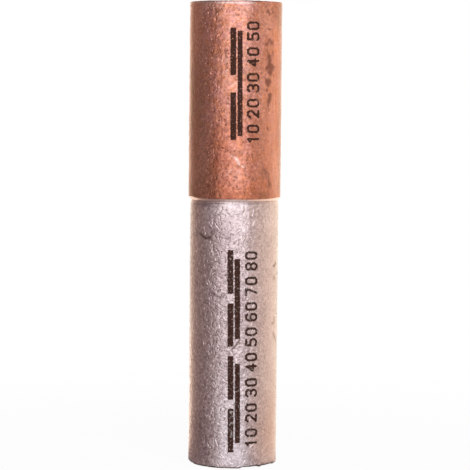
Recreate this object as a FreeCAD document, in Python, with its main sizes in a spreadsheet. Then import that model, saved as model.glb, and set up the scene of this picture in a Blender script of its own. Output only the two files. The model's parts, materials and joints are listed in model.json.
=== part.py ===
"""Bimetallic reducing connector for crimping an aluminium cable to a copper one.

A copper barrel and a slimmer aluminium barrel are turned from bar and joined end to end by
a friction weld. Each is drilled blind from its own mouth for the bare conductor, so a solid
wall of both metals stays between the two bores. The connector stands on its aluminium
mouth, with the origin at the middle of that face and +Z along the common axis.
Sizes are in millimetres.
"""

import FreeCAD
import Part

import os

import Sketcher

SIZES = [
    ("aluminiumDiameter", "12.0", "outside of the aluminium barrel"),
    ("aluminiumBore", "6.8", "bore for 25 mm2 stranded or 35 mm2 solid aluminium"),
    ("aluminiumBoreDepth", "32.0", "full bore, from the mouth to the drill point"),
    ("aluminiumWeb", "1.7", "solid metal between the drill point and the weld"),
    ("aluminiumLeadIn", "0.5", "45 degree lead-in at the mouth of the bore"),
    ("aluminiumMouthRound", "0.6", "rounded outer edge of the mouth"),
    ("copperDiameter", "12.5", "outside of the copper barrel"),
    ("copperBore", "8.2", "bore for 35 mm2 stranded copper"),
    ("copperBoreDepth", "22.5", "full bore, from the mouth to the drill point"),
    ("copperWeb", "1.7", "solid metal between the drill point and the weld"),
    ("copperLeadIn", "0.4", "45 degree lead-in at the mouth of the bore"),
    ("copperMouthRound", "0.2", "rounded outer edge of the mouth"),
    ("copperShoulder", "0.35", "height of the turned slope above the weld"),
    ("drillPoint", "118.0", "included angle of the drills, in degrees"),
    ("reliefDepth", "0.1", "how deep the cut that took off the weld bead runs in"),
    ("reliefRadius", "0.5", "nose radius of the tool that took off the weld bead"),
]

# What follows from the sizes. A barrel is as long as its bore, its drill point and the web
# behind it, and both metals have the same radius where they meet at the weld.
DERIVED = [
    ("drillSlope", "tan(Sizes.drillPoint * 0.5 deg)"),
    ("aluminiumRadius", "Sizes.aluminiumDiameter / 2"),
    ("aluminiumBoreRadius", "Sizes.aluminiumBore / 2"),
    ("aluminiumLeadInRadius", "Derived.aluminiumBoreRadius + Sizes.aluminiumLeadIn"),
    ("aluminiumTip", "Sizes.aluminiumBoreDepth + Derived.aluminiumBoreRadius / Derived.drillSlope"),
    ("aluminiumLength", "Derived.aluminiumTip + Sizes.aluminiumWeb"),
    ("copperRadius", "Sizes.copperDiameter / 2"),
    ("copperBoreRadius", "Sizes.copperBore / 2"),
    ("copperLeadInRadius", "Derived.copperBoreRadius + Sizes.copperLeadIn"),
    ("copperTip", "Sizes.copperBoreDepth + Derived.copperBoreRadius / Derived.drillSlope"),
    ("copperLength", "Derived.copperTip + Sizes.copperWeb"),
    ("copperShoulderStart", "Derived.copperLength - Sizes.copperShoulder"),
    ("weldRadius", "Derived.aluminiumRadius - Sizes.reliefDepth"),
    ("reliefCentreRadius", "Derived.weldRadius + Sizes.reliefRadius"),
    ("overallLength", "Derived.aluminiumLength + Derived.copperLength"),
]

FULL_TURN = 360.0
HALF_TURN = 180.0
SAME_PLACE = 1e-4
ORIGIN_POINT = (-1, 1)


def add_sizes(doc):
    """The driving dimensions, one row each: name, number and what it measures."""
    sheet = doc.addObject("Spreadsheet::Sheet", "Sizes")
    for row, (name, number, meaning) in enumerate(SIZES, 1):
        sheet.set(f"A{row}", name)
        sheet.set(f"B{row}", number)
        sheet.set(f"C{row}", meaning)
        sheet.setAlias(f"B{row}", name)
    doc.recompute()


def add_derived(doc):
    """The lengths that follow from the driving dimensions."""
    derived = doc.addObject("App::VarSet", "Derived")
    for name, expression in DERIVED:
        derived.addProperty("App::PropertyFloat", name)
        derived.setExpression(name, expression)
    doc.recompute()


def number_of(doc, name):
    """What a name such as Sizes.copperBore holds."""
    holder, field = name.split(".")
    return float(getattr(doc.getObject(holder), field))


def new_sketch(body, name):
    """A sketch through the axis: across is the distance from it, and up is along it."""
    planes = {plane.Role: plane for plane in body.Origin.OriginFeatures}
    sketch = body.newObject("Sketcher::SketchObject", name)
    sketch.AttachmentSupport = [(planes["XZ_Plane"], "")]
    sketch.MapMode = "FlatFace"
    return sketch


def bind(doc, sketch, kind, where, name):
    """Adds a dimension to the sketch that follows a named size."""
    index = sketch.addConstraint(Sketcher.Constraint(kind, *where, number_of(doc, name)))
    sketch.setExpression(f"Constraints[{index}]", name)


def half_section(doc, body, name, corners):
    """A closed outline on one side of the axis, starting at the origin. A corner names its
    distance from the axis and its height, or has None where that distance is nothing."""
    sketch = new_sketch(body, name)
    points = []
    for across, up in corners:
        x = number_of(doc, across) if across else 0.0
        y = number_of(doc, up) if up else 0.0
        points.append(FreeCAD.Vector(x, y, 0.0))
    for start, end in zip(points, points[1:] + points[:1]):
        sketch.addGeometry(Part.LineSegment(start, end), False)
    for side, (across, up) in enumerate(corners):
        following = (side + 1) % len(corners)
        next_across, next_up = corners[following]
        sketch.addConstraint(Sketcher.Constraint("Coincident", side, 2, following, 1))
        if across == next_across:
            sketch.addConstraint(Sketcher.Constraint("Vertical", side))
        elif next_across:
            bind(doc, sketch, "DistanceX", (*ORIGIN_POINT, following, 1), next_across)
        if up == next_up:
            sketch.addConstraint(Sketcher.Constraint("Horizontal", side))
        elif next_up:
            bind(doc, sketch, "DistanceY", (*ORIGIN_POINT, following, 1), next_up)
    sketch.addConstraint(Sketcher.Constraint("Coincident", 0, 1, *ORIGIN_POINT))
    return sketch


def tool_nose(doc, body, name, across, up, radius):
    """The round nose of a turning tool, seen in the section plane."""
    sketch = new_sketch(body, name)
    centre = FreeCAD.Vector(number_of(doc, across), number_of(doc, up), 0.0)
    upwards = FreeCAD.Vector(0.0, 0.0, 1.0)
    sketch.addGeometry(Part.Circle(centre, upwards, number_of(doc, radius)), False)
    bind(doc, sketch, "Radius", (0,), radius)
    bind(doc, sketch, "DistanceX", (*ORIGIN_POINT, 0, 3), across)
    bind(doc, sketch, "DistanceY", (*ORIGIN_POINT, 0, 3), up)
    return sketch


def turn(doc, body, kind, name, sketch):
    """Revolves a sketch about the axis, as a Revolution adds metal or a Groove cuts it."""
    feature = body.newObject(kind, name)
    feature.Profile = sketch
    feature.ReferenceAxis = (sketch, ["V_Axis"])
    feature.Angle = FULL_TURN
    doc.recompute()
    return feature


def ring_edge(feature, radius, height):
    """The name of the circular edge of that radius about the axis, at that height."""
    for number, edge in enumerate(feature.Shape.Edges, 1):
        if not isinstance(edge.Curve, Part.Circle):
            continue
        off = abs(edge.Curve.Radius - radius) + abs(edge.Curve.Center.z - height)
        if off < SAME_PLACE:
            return f"Edge{number}"
    raise ValueError(f"{feature.Name} has no edge of radius {radius} at height {height}")


def round_mouth(doc, body, name, feature, radius, amount):
    """Rounds the outer edge of the mouth."""
    edge = ring_edge(feature, number_of(doc, radius), 0.0)
    fillet = body.newObject("PartDesign::Fillet", name)
    fillet.Base = (feature, [edge])
    fillet.setExpression("Radius", amount)
    doc.recompute()


def drill(doc, body, metal):
    """The blind bore: a lead-in at the mouth, the full bore and the drill's point."""
    section = half_section(
        doc,
        body,
        f"{metal}_drill_section",
        [
            (None, None),
            (f"Derived.{metal}LeadInRadius", None),
            (f"Derived.{metal}BoreRadius", f"Sizes.{metal}LeadIn"),
            (f"Derived.{metal}BoreRadius", f"Sizes.{metal}BoreDepth"),
            (None, f"Derived.{metal}Tip"),
        ],
    )
    return turn(doc, body, "PartDesign::Groove", f"{metal}_bore", section)


def new_barrel(doc, metal):
    """An empty body whose label names its file. A barrel is drawn with its mouth at the
    bottom and its weld face on top."""
    body = doc.addObject("PartDesign::Body", f"{metal}_body")
    body.Label = f"{metal}_barrel"
    return body


def make_aluminium_barrel(doc):
    """Bar, relieved by the round nose of the tool that took off the weld bead."""
    body = new_barrel(doc, "aluminium")
    bar_section = half_section(
        doc,
        body,
        "aluminium_bar_section",
        [
            (None, None),
            ("Derived.aluminiumRadius", None),
            ("Derived.aluminiumRadius", "Derived.aluminiumLength"),
            (None, "Derived.aluminiumLength"),
        ],
    )
    turn(doc, body, "PartDesign::Revolution", "aluminium_bar", bar_section)
    nose = tool_nose(
        doc,
        body,
        "relief_section",
        "Derived.reliefCentreRadius",
        "Derived.aluminiumLength",
        "Sizes.reliefRadius",
    )
    turn(doc, body, "PartDesign::Groove", "weld_relief", nose)
    bore = drill(doc, body, "aluminium")
    round_mouth(
        doc,
        body,
        "aluminium_mouth_round",
        bore,
        "Derived.aluminiumRadius",
        "Sizes.aluminiumMouthRound",
    )
    return body


def make_copper_barrel(doc):
    """Wider bar, sloped down at the weld to the radius of the relieved aluminium, turned
    over and set on the weld face of the aluminium barrel."""
    body = new_barrel(doc, "copper")
    bar_section = half_section(
        doc,
        body,
        "copper_bar_section",
        [
            (None, None),
            ("Derived.copperRadius", None),
            ("Derived.copperRadius", "Derived.copperShoulderStart"),
            ("Derived.weldRadius", "Derived.copperLength"),
            (None, "Derived.copperLength"),
        ],
    )
    turn(doc, body, "PartDesign::Revolution", "copper_bar", bar_section)
    bore = drill(doc, body, "copper")
    round_mouth(
        doc,
        body,
        "copper_mouth_round",
        bore,
        "Derived.copperRadius",
        "Sizes.copperMouthRound",
    )
    across = FreeCAD.Vector(1.0, 0.0, 0.0)
    turned_over = FreeCAD.Rotation(across, HALF_TURN)
    body.Placement = FreeCAD.Placement(FreeCAD.Vector(), turned_over)
    body.setExpression("Placement.Base.z", "Derived.overallLength")
    return body


def check(doc, barrels):
    """Stops if any object failed, or if a barrel is not one sound solid."""
    failed = [item.Name for item in doc.Objects if {"Invalid", "Error"} & set(item.State)]
    if failed:
        raise RuntimeError(f"these did not build: {failed}")
    for body in barrels:
        shape = body.Shape
        if shape.isNull() or not shape.isValid() or len(shape.Solids) != 1:
            raise RuntimeError(f"{body.Label} is not one sound solid")


def write_parts(barrels):
    """One STEP file for each barrel."""
    os.makedirs("parts", exist_ok=True)
    for body in barrels:
        body.Shape.exportStep(f"parts/{body.Label}.step")
        box = body.Shape.optimalBoundingBox()
        print(
            f"{body.Label}: {body.Shape.Volume:.1f} mm3,"
            f" {box.XLength:.2f} wide, from {box.ZMin:.2f} to {box.ZMax:.2f}"
        )


def main():
    doc = FreeCAD.newDocument("bimetallic_connector")
    add_sizes(doc)
    add_derived(doc)
    barrels = [make_aluminium_barrel(doc), make_copper_barrel(doc)]
    doc.recompute()
    check(doc, barrels)
    write_parts(barrels)


main()
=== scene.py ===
import json
import math

import bpy
import numpy as np
from mathutils import Matrix, Vector


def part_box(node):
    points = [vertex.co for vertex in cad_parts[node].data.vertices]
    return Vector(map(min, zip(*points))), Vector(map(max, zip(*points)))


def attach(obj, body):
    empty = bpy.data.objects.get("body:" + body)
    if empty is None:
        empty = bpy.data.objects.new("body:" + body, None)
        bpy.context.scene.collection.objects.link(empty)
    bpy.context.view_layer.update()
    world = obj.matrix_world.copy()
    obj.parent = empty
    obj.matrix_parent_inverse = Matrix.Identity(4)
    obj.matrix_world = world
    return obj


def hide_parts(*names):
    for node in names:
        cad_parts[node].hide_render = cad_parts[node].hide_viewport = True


# A bimetallic connector stands on its aluminium barrel, with its printed side towards the camera (-Y).
# Lengths are in millimetres, depths of marks in micrometres, and angles in degrees to the right of the
# front, unless a note says otherwise.
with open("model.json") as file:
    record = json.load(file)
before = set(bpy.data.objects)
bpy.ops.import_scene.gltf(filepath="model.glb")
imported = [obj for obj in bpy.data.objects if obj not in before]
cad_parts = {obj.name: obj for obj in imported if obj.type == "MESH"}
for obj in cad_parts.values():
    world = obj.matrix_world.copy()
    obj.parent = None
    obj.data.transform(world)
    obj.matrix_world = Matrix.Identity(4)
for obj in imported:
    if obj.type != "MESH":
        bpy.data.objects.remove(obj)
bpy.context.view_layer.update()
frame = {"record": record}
mm = 0.001
micrometre = 0.001               # of a millimetre
degree = math.radians(1)
mounts = {mount["name"]: mount for mount in frame["record"]["mounts"]}
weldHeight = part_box("copper_barrel")[0].z / mm


def linearColour(hexText):
    channels = [int(hexText[i:i + 2], 16) / 255 for i in (1, 3, 5)]
    return [c / 12.92 if c <= 0.04045 else ((c + 0.055) / 1.055) ** 2.4 for c in channels] + [1.0]


def addNode(tree, kind, settings=None, links=None):
    # settings go to the node's own properties or to its sockets, and links come from other nodes: from a
    # socket of theirs, or from the first output that is in use where the node itself is given. A Mix
    # node's sockets go by number: 0 is the share, 2 and 3 are plain values, 6 and 7 are colours
    node = tree.nodes.new("ShaderNode" + kind)
    for name, value in (settings or {}).items():
        if isinstance(name, str) and hasattr(node, name):
            setattr(node, name, value)
        else:
            node.inputs[name].default_value = value
    for name, source in (links or {}).items():
        if isinstance(source, bpy.types.Node):
            source = next(output for output in source.outputs if output.enabled)
        tree.links.new(source, node.inputs[name])
    return node


def newMaterial(name):
    material = bpy.data.materials.new(name)
    material.use_nodes = True
    material.node_tree.nodes.clear()
    return material, material.node_tree


def fillRamp(ramp, stops):
    # stops are (place from 0 to 1, hex colour or plain value)
    while len(ramp.elements) < len(stops):
        ramp.elements.new(0.5)
    for element, (place, shade) in zip(ramp.elements, stops):
        element.position = place
        element.color = linearColour(shade) if isinstance(shade, str) else (shade, shade, shade, 1)


cameraSetup = {
    "placeMm": (0, -282.24, 50.26),
    "lensMm": 159.75,            # for the square picture
    "sensorMm": 36,
    "clipMm": (10, 10000),
    "downDegrees": 3.911,
    "rightDegrees": 0.025,
    "leanDegrees": 0.532,        # the picture's upright leans a little to the right
}


def makeCamera(setup):
    camera = bpy.data.objects.new("camera", bpy.data.cameras.new("camera"))
    camera.data.lens = setup["lensMm"]
    camera.data.sensor_width = setup["sensorMm"]
    camera.data.clip_start, camera.data.clip_end = [v * mm for v in setup["clipMm"]]
    bpy.context.scene.collection.objects.link(camera)
    camera.matrix_world = (
        Matrix.Translation([v * mm for v in setup["placeMm"]])
        @ Matrix.Rotation(math.radians(-setup["rightDegrees"]), 4, "Z")
        @ Matrix.Rotation(math.radians(90 - setup["downDegrees"]), 4, "X")
        @ Matrix.Rotation(math.radians(setup["leanDegrees"]), 4, "Z"))
    bpy.context.scene.camera = camera


bpy.context.scene.view_settings.view_transform = "Standard"
makeCamera(cameraSetup)
print("camera made")


def turnedMesh(name, profile, columns):
    # plain surface of revolution for the studio's own shapes, profile is (radius, height) in mm
    turn = np.linspace(-np.pi, np.pi, columns, endpoint=False)
    ring = np.array(profile)
    points = np.stack([ring[:, :1] * np.sin(turn), -ring[:, :1] * np.cos(turn),
                       np.repeat(ring[:, 1:], columns, 1)], -1).reshape(-1, 3) * mm
    faces = [(row * columns + col, row * columns + (col + 1) % columns,
              (row + 1) * columns + (col + 1) % columns, (row + 1) * columns + col)
             for row in range(len(profile) - 1) for col in range(columns)]
    mesh = bpy.data.meshes.new(name)
    mesh.from_pydata(points.tolist(), [], faces)
    thing = bpy.data.objects.new(name, mesh)
    bpy.context.scene.collection.objects.link(thing)
    return thing


def lookedAt(tree):
    # 1 for what the camera, a mirror or glass looks at, 0 for the light that falls on matt surfaces
    path = addNode(tree, "LightPath")
    looked = path.outputs["Is Camera Ray"]
    for ray in ("Is Glossy Ray", "Is Transmission Ray"):
        looked = addNode(tree, "Math", {"operation": "MAXIMUM"}, {0: looked, 1: path.outputs[ray]})
    return looked


# White sweep paper: matt, and lit evenly enough to vanish into the background.
sweepPaper = {
    "radiusMm": 1500,
    "colour": "#f4f4f4",
    "shadow": 0.06,              # how much of the paper is lit by the lamp, the rest is plain white
    "shadowFadeMm": (15, 110),
}


def makeFloor(setup):
    material, tree = newMaterial("white sweep paper")
    where = addNode(tree, "TexCoord")
    distance = addNode(tree, "VectorMath", {"operation": "LENGTH"}, {0: where.outputs["Object"]})
    near, far = setup["shadowFadeMm"]
    plain = addNode(tree, "MapRange", {
        "interpolation_type": "SMOOTHSTEP", "From Min": near * mm, "From Max": far * mm,
        "To Min": 1 - setup["shadow"], "To Max": 1.0}, {"Value": distance})
    amount = addNode(tree, "Math", {"operation": "MULTIPLY"}, {0: lookedAt(tree), 1: plain})
    paper = addNode(tree, "BsdfDiffuse", {"Color": linearColour(setup["colour"])})
    white = addNode(tree, "Emission", {"Color": linearColour("#ffffff"), "Strength": 1.0})
    both = addNode(tree, "MixShader", None, {0: amount, 1: paper, 2: white})
    addNode(tree, "OutputMaterial", None, {"Surface": both})
    floor = turnedMesh("floor", [(0.001, 0), (setup["radiusMm"], 0)], 64)
    floor.data.materials.append(material)


# A paper tent that only metal mirrors: a lit panel in front, dark card to the left, paler card to the
# right, and white paper behind.
lightTent = {
    "radiusMm": 90,
    "heightMm": 220,
    "roofMm": (42, 235),         # radius and height of the hole's edge in the roof
    "floorRingsMm": (5.2, 7, 12, 30),
    "floorLiftMm": 0.02,
    "floorBendMm": 8,
    "columns": 120,
    "paper": [                   # (degrees round from the camera, colour)
        (-180, "#ffffff"), (-166, "#fff6ee"), (-150, "#e3cebc"), (-134, "#ad9287"), (-114, "#866f6b"),
        (-88, "#7a6866"), (-62, "#867476"), (-48, "#9e8c8c"), (-38, "#c0b0b1"), (-28, "#eadce1"),
        (-16, "#faeef4"), (16, "#faeef4"), (28, "#e9dbe1"), (40, "#bca9a9"), (60, "#bda8a3"),
        (88, "#cdb7ad"), (112, "#dfc6b9"), (134, "#ebd4c2"), (158, "#faecdb"), (180, "#ffffff")],
    "glow": 1.32,
    "contactMm": (5.5, 6.8),     # the floor is darker where the object shades it
    "contactDark": 0.25,
    "floorFadeMm": (0, 12),      # up to here the paper has the floor's own light
    "frontDegrees": (30, 60),    # under the lit panel the floor is darker
    "frontFloor": 0.55,
    "leftDegrees": (-130, -142), # behind on the left the white floor is lit more than the card above it
    "leftFloor": 1.6,
    "upperMm": (60, 105),        # above the lit panel's middle the paper is dimmer
    "upperDim": 0.6,
    "roofFadeMm": (120, 160),
    "roofDegrees": (34, 26),     # the lamp shines through the roof in front, and the rest is dim
    "roofDim": 0.4,
    "roofLit": 2.0,
}


def makeTent(setup):
    material, tree = newMaterial("lit tent paper")
    where = addNode(tree, "TexCoord")
    apart = addNode(tree, "SeparateXYZ", None, {0: where.outputs["Object"]})
    height = apart.outputs["Z"]
    distance = addNode(tree, "VectorMath", {"operation": "LENGTH"}, {0: where.outputs["Object"]})
    behind = addNode(tree, "Math", {"operation": "MULTIPLY", 1: -1.0}, {0: apart.outputs["Y"]})
    turn = addNode(tree, "Math", {"operation": "ARCTAN2"}, {0: apart.outputs["X"], 1: behind})
    aside = addNode(tree, "Math", {"operation": "ABSOLUTE"}, {0: turn})

    # (what is measured, its unit, from where to where it fades, value before, value after, kind of fade)
    around, contact, front, left, raised, upper, roof, roofFront = [
        addNode(tree, "MapRange", {"interpolation_type": fade, "From Min": start * unit,
                                   "From Max": end * unit, "To Min": before, "To Max": after},
                {"Value": what})
        for what, unit, (start, end), before, after, fade in (
            (turn, degree, (-180, 180), 0.0, 1.0, "LINEAR"),
            (distance, mm, setup["contactMm"], setup["contactDark"], setup["glow"], "SMOOTHSTEP"),
            (aside, degree, setup["frontDegrees"], setup["frontFloor"], 1.0, "LINEAR"),
            (turn, degree, setup["leftDegrees"], 1.0, setup["leftFloor"], "SMOOTHSTEP"),
            (height, mm, setup["floorFadeMm"], 0.0, 1.0, "LINEAR"),
            (height, mm, setup["upperMm"], 1.0, setup["upperDim"], "SMOOTHSTEP"),
            (height, mm, setup["roofFadeMm"], 0.0, 1.0, "LINEAR"),
            (aside, degree, setup["roofDegrees"], setup["roofDim"], setup["roofLit"], "LINEAR"))]

    paper = addNode(tree, "ValToRGB", None, {0: around})
    fillRamp(paper.color_ramp, [((turn + 180) / 360, colour) for turn, colour in setup["paper"]])
    floorLight = addNode(tree, "Math", {"operation": "MULTIPLY"}, {0: front, 1: left})
    lower = addNode(tree, "Mix", {3: 1.0}, {0: raised, 2: floorLight})
    higher = addNode(tree, "Mix", None, {0: roof, 2: upper, 3: roofFront})
    strength = contact
    for share in (lower, higher):
        strength = addNode(tree, "Math", {"operation": "MULTIPLY"}, {0: strength, 1: share})
    glow = addNode(tree, "Emission", None, {"Color": paper, "Strength": strength})
    addNode(tree, "OutputMaterial", None, {"Surface": glow})

    radius, bend, lift = setup["radiusMm"], setup["floorBendMm"], setup["floorLiftMm"]
    profile = [(ring, lift) for ring in setup["floorRingsMm"] + (radius - bend,)]
    profile += [(radius, bend), (radius, setup["heightMm"]), setup["roofMm"]]
    tent = turnedMesh("light tent", profile, setup["columns"])
    tent.data.materials.append(material)
    for flag in ("camera", "diffuse", "transmission", "volume_scatter", "shadow"):
        setattr(tent, "visible_" + flag, False)


softbox = {"watts": 0.42, "sizeMm": 160, "placeMm": (90, -230, 190), "aimMm": (0, 0, 30)}
roomLight = 0.5                  # the world's light on matt surfaces


def makeSoftbox(setup):
    lamp = bpy.data.objects.new("softbox", bpy.data.lights.new("softbox", "AREA"))
    lamp.data.energy = setup["watts"]
    lamp.data.shape = "SQUARE"
    lamp.data.size = setup["sizeMm"] * mm
    lamp.visible_glossy = False      # the tent is what metal mirrors
    lamp.visible_camera = False
    bpy.context.scene.collection.objects.link(lamp)
    place, aim = [Vector([v * mm for v in setup[name]]) for name in ("placeMm", "aimMm")]
    turned = (aim - place).to_track_quat("-Z", "Y")
    lamp.matrix_world = Matrix.Translation(place) @ turned.to_matrix().to_4x4()


def makeWorld():
    world = bpy.data.worlds.new("white room")
    bpy.context.scene.world = world
    world.use_nodes = True
    tree = world.node_tree
    tree.nodes.clear()
    level = addNode(tree, "MapRange", {"To Min": roomLight, "To Max": 1.0}, {"Value": lookedAt(tree)})
    sky = addNode(tree, "Background", {"Color": linearColour("#ffffff")}, {"Strength": level})
    addNode(tree, "OutputWorld", None, {"Surface": sky})


makeFloor(sweepPaper)
makeTent(lightTent)
makeSoftbox(softbox)
makeWorld()
print("studio made")


# The print is crimp bars and a column of plain dial numbers, in (mm round the barrel, mm up). It runs a
# touch askew: it drifts to the right by printSlant for each millimetre down.
printSlant = 0.009
farFromInk = 2.0
digitSize = {"tallMm": 1.5, "wideMm": 0.84, "strokeMm": 0.33, "pitchMm": 1.44, "numberPitchMm": 3.4}
digitBox = (4, 6)                # width and height of the box that the strokes are drawn in
digitStrokes = {
    "0": [(1, 0), (3, 0), (4, 1), (4, 5), (3, 6), (1, 6), (0, 5), (0, 1), (1, 0)],
    "1": [(0.9, 4.7), (2.4, 6), (2.4, 0)],
    "2": [(0, 4.9), (1, 6), (3, 6), (4, 5), (4, 3.9), (0, 0), (4, 0)],
    "3": [(0, 5.1), (1, 6), (3, 6), (4, 5), (4, 4.1), (3, 3.2), (1.6, 3.2), (3, 3.2), (4, 2.2), (4, 1),
          (3, 0), (1, 0), (0, 0.9)],
    "4": [(3, 0), (3, 6), (0, 2), (4.2, 2)],
    "5": [(4, 6), (0.4, 6), (0.2, 3.4), (3, 3.6), (4, 2.6), (4, 1), (3, 0), (1, 0), (0, 0.8)],
    "6": [(3.7, 5.3), (3, 6), (1.2, 6), (0, 4.8), (0, 1), (1, 0), (3, 0), (4, 1), (4, 2.6), (3, 3.5),
          (1, 3.5), (0, 2.7)],
    "7": [(0, 6), (4, 6), (1.4, 0)],
    "8": [(1, 3.2), (0, 4.2), (0, 5.1), (1, 6), (3, 6), (4, 5.1), (4, 4.2), (3, 3.2), (1, 3.2), (0, 2.2),
          (0, 1), (1, 0), (3, 0), (4, 1), (4, 2.2), (3, 3.2)],
}


def lineDistance(across, up, points):
    # distance from every grid point to a line through points
    best = np.full(np.broadcast(across, up).shape, np.inf)
    for (x0, y0), (x1, y1) in zip(points, points[1:]):
        dx, dy = x1 - x0, y1 - y0
        along = np.clip(((across - x0) * dx + (up - y0) * dy) / (dx * dx + dy * dy + 1e-9), 0, 1)
        best = np.minimum(best, np.hypot(across - x0 - along * dx, up - y0 - along * dy))
    return best


def inkDistance(across, up, setup):
    # distance to the nearest ink, below zero inside it
    best = np.full(across.shape, farFromInk)
    slanted = across - printSlant * (setup["printTop"] - up)
    for left, right, low, high in setup["bars"]:
        dx = np.maximum(left - slanted, slanted - right)
        dz = np.maximum(low - up, up - high)
        outside = np.hypot(np.maximum(dx, 0), np.maximum(dz, 0))
        best = np.minimum(best, outside + np.minimum(np.maximum(dx, dz), 0))
    wide, tall = digitSize["wideMm"] / digitBox[0], digitSize["tallMm"] / digitBox[1]
    for index, number in enumerate(setup["numbers"]):
        start = setup["numberStart"] + index * digitSize["numberPitchMm"]
        for place, digit in enumerate(str(number)):
            line = [(setup["numberBase"] - y * tall, start + x * wide + place * digitSize["pitchMm"])
                    for x, y in digitStrokes[digit]]
            best = np.minimum(best, lineDistance(slanted, up, line) - digitSize["strokeMm"] / 2)
    return best


def bandNoise(shape, stepMm, waveMm, seed, stretch=1.0, spread=0.35):
    # smooth random field with one typical wavelength, seamless round the barrel, rms 1
    random = np.random.default_rng(seed)
    field = np.fft.rfft2(random.standard_normal(shape))
    up = np.fft.fftfreq(shape[0], stepMm)[:, None] * stretch
    around = np.fft.rfftfreq(shape[1], stepMm)[None, :]
    pitch = np.log((np.hypot(up, around) + 1e-9) * waveMm)
    field = np.fft.irfft2(field * np.exp(-(pitch / spread) ** 2 / 2), s=shape)
    return field / field.std()


# What a tumbling drum leaves on both barrels' meshes. The fine net of scratches is in the materials.
drum = {
    "smoothed": 0.75,            # how much of the hammering a smooth patch has lost
    "facedMm": (1.1, 0.5),       # none on the faced end: it starts this far inside the wall, and fades in
    "backPatchMm": 9.0,          # the patches of the back aren't placed by hand
    "backPatchSwing": 0.6,
    "frontDegrees": 80,          # to each side, as far as the listed patches rule
    # the turned slope carries a painted highlight, for its reflection of the bright floor
    "brightSlopeMm": 0.05,       # the turned slope is bright from this depth
}


def strokesOn(shape, across, up, marks, radius):
    # the given marks: how deep they dent the skin, and what they paint on it
    depth = np.zeros(shape)
    paint = {kind: np.zeros(shape) for kind in ("stain", "bare", "burnish")}
    for wideMm, deep, kind, strength, points in marks:
        line = [(math.radians(turn) * radius, height) for turn, height in points]
        near = np.exp(-(lineDistance(across, up, line) / wideMm) ** 2)
        depth -= deep * near
        np.maximum(paint[kind], strength * near, out=paint[kind])
    return depth, paint


def softPatches(shape, across, up, setup, radius, kind):
    # broad areas of one paint in front, and a patchy ground behind
    ground, seed, placed = setup["patches"][kind]
    noise = bandNoise(shape, setup["gridMm"], drum["backPatchMm"], seed)
    patchy = ground * (1 + drum["backPatchSwing"] * noise)
    turn = np.degrees(across / radius)
    facing = np.exp(-(turn / drum["frontDegrees"]) ** 8)
    total = np.zeros(shape)
    for middle, height, wide, tall, strength in placed:
        total += strength * np.exp(-((turn - middle) / wide) ** 2 - ((up - height) / tall) ** 2)
    return np.clip(total * facing + patchy * (1 - facing), 0, 1)


def slopeAtWeld(setup, turn, aboveWeld):
    # the turned slope above the weld starts higher at the sides: how far it cuts below the plain profile,
    # and below the straight wall
    rise = setup["shoulderMm"] + sum(more * np.exp(-((np.degrees(turn) - middle) / wide) ** 2)
                                     for middle, wide, more in setup["shoulderRises"])
    plain = np.clip(setup["shoulderMm"] - aboveWeld, 0, None)
    slope = np.clip(rise - aboveWeld, 0, None) * setup["shoulderMm"] / rise
    return slope - plain, slope


def tumbledSurface(setup, shape, across, up):
    # soft hills, fine hammering and placed marks, as a depth in micrometres, and the paint of each kind
    radius = mounts[setup["outside"]]["dims"]["r_mm"]
    depth = np.zeros(shape)
    for waveMm, micrometres, seed, stretch in setup["tumble"]:
        depth += micrometres * bandNoise(shape, setup["gridMm"], waveMm, seed, stretch)
    aboveWeld = np.abs(up - weldHeight)
    plainMm, fadeMm = setup["turnedMm"]
    depth *= np.clip((aboveWeld - plainMm) / fadeMm, 0, 1)
    marked, paint = strokesOn(shape, across, up, setup["marks"], radius)
    for kind in setup["patches"]:
        paint[kind] = softPatches(shape, across, up, setup, radius, kind)
    depth *= 1 - drum["smoothed"] * paint["smooth"]
    if "shoulderRises" in setup:
        cut, slope = slopeAtWeld(setup, across / radius, aboveWeld)
        depth -= cut / micrometre
        # the turned slope at the weld gets a painted highlight
        paint["burnish"] = np.maximum(paint["burnish"], np.clip(slope / drum["brightSlopeMm"], 0, 1))
    return depth + marked, paint


# What both barrels' meshes are made with.
meshing = {
    "drillPointDegrees": 118,
    "drillCentreMm": 0.25,       # the last ring before the drill point's tip
    "drillStepMm": 0.6,
    "leadInStepMm": 0.2,
    "faceStepMm": 0.22,
    "topShare": 99.9,            # per cent of the skin that lies at or below the plain profile
    "outsideV": (0.3, 0.99),     # the barrel unrolls onto one map: the outside above, the bore below it,
    "boreV": (0.13, 0.28),       # and the drill point and the weld face as two discs at the foot
    "discRadius": 0.05,
    "discCentres": [(0.06, 0.06), (0.18, 0.06)],
}


def profilePoints(corners):
    # corners are (radius, height from the mouth, step to reach it): a straight run is divided by its step,
    # and a step of 1 leaves the short pieces of an arc whole
    points = [corners[0][:2]]
    for radius, height, step in corners[1:]:
        r0, h0 = points[-1]
        parts = max(1, round(math.hypot(radius - r0, height - h0) / step))
        points += [(r0 + (radius - r0) * i / parts, h0 + (height - h0) * i / parts)
                   for i in range(1, parts + 1)]
    return points


def barrelSizes(setup):
    # what the frame says of a barrel, with the heights measured from its mouth
    low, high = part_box(setup["node"])
    bore = mounts[setup["bore"]]
    mouth = (high.z if setup["mouthUp"] > 0 else low.z) / mm
    boreRadius, boreLength = bore["dims"]["r_mm"], bore["dims"]["length_mm"]
    boreMiddle = abs(bore["pos_m"][2] / mm - mouth)
    boreEnd = boreMiddle + boreLength / 2
    return {
        "radius": mounts[setup["outside"]]["dims"]["r_mm"],
        "mouth": mouth,
        "length": (high.z - low.z) / mm,
        "leadIn": boreRadius + setup["leadInMm"],
        "boreRadius": boreRadius,
        "boreStart": boreMiddle - boreLength / 2,
        "boreEnd": boreEnd,
        "tip": boreEnd + boreRadius / math.tan(math.radians(meshing["drillPointDegrees"] / 2)),
    }


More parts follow.
